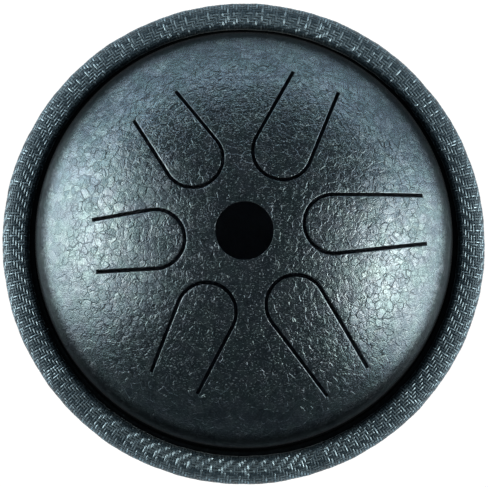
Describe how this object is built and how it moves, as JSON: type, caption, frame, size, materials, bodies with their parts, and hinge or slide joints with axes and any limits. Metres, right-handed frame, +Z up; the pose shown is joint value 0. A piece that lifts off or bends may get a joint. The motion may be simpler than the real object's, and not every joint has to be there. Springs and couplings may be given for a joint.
{
  "type": "steel tongue drum",
  "caption": "Small round steel tongue drum: a domed steel shell with U-cut tongues round a central sound hole, a closed bowl below, a woven rim cover and rubber feet.",
  "frame": {"origin": "middle of the drum, on the plane that its three feet stand on", "axes": "+Z up out of the dome; +X to the right and +Y to the top of the picture, which looks down on the dome"},
  "size_m": [0.14, 0.14, 0.0777],
  "materials": {
    "lacquered_steel": "dark slate blue hammertone lacquer, glossy",
    "woven_band": "dark grey twill band with pale picks",
    "trim_rubber": "black, semi-matt",
    "foot_rubber": "black, matt",
    "zinc_steel": "bright zinc plate"
  },
  "bodies": {
    "drum": {"upper_shell": "lacquered_steel", "lower_shell": "lacquered_steel", "edge_trim": "trim_rubber", "rim_band": "woven_band", "foot_1": "foot_rubber", "foot_2": "foot_rubber", "foot_3": "foot_rubber", "foot_washers": "zinc_steel", "foot_rivets": "zinc_steel"},
    "tongue_1": {"tongue_1": "lacquered_steel"},
    "tongue_2": {"tongue_2": "lacquered_steel"},
    "tongue_3": {"tongue_3": "lacquered_steel"},
    "tongue_4": {"tongue_4": "lacquered_steel"},
    "tongue_5": {"tongue_5": "lacquered_steel"},
    "tongue_6": {"tongue_6": "lacquered_steel"}
  },
  "joints": [
    {"name": "tongue_1_flex", "type": "hinge", "parent": "drum", "child": "tongue_1", "pos_m": [0.05047, 0.00433, 0.06399], "axis": [0.0854, -0.9963, 0], "range_deg": [-1, 1], "stiffness_Nm_per_rad": 35.6},
    {"name": "tongue_2_flex", "type": "hinge", "parent": "drum", "child": "tongue_2", "pos_m": [0.02009, 0.04288, 0.06579], "axis": [0.9056, -0.4242, 0], "range_deg": [-1, 1], "stiffness_Nm_per_rad": 39.9},
    {"name": "tongue_3_flex", "type": "hinge", "parent": "drum", "child": "tongue_3", "pos_m": [-0.02497, 0.0358, 0.06763], "axis": [0.8202, 0.5721, 0], "range_deg": [-1, 1], "stiffness_Nm_per_rad": 46.1},
    {"name": "tongue_4_flex", "type": "hinge", "parent": "drum", "child": "tongue_4", "pos_m": [-0.0416, -0.00357, 0.0685], "axis": [-0.0854, 0.9963, 0], "range_deg": [-1, 1], "stiffness_Nm_per_rad": 49.9},
    {"name": "tongue_5_flex", "type": "hinge", "parent": "drum", "child": "tongue_5", "pos_m": [-0.01937, -0.04134, 0.06666], "axis": [-0.9056, 0.4242, 0], "range_deg": [-1, 1], "stiffness_Nm_per_rad": 42.5},
    {"name": "tongue_6_flex", "type": "hinge", "parent": "drum", "child": "tongue_6", "pos_m": [0.02864, -0.04105, 0.06433], "axis": [-0.8202, -0.5721, 0], "range_deg": [-1, 1], "stiffness_Nm_per_rad": 36.3}
  ]
}
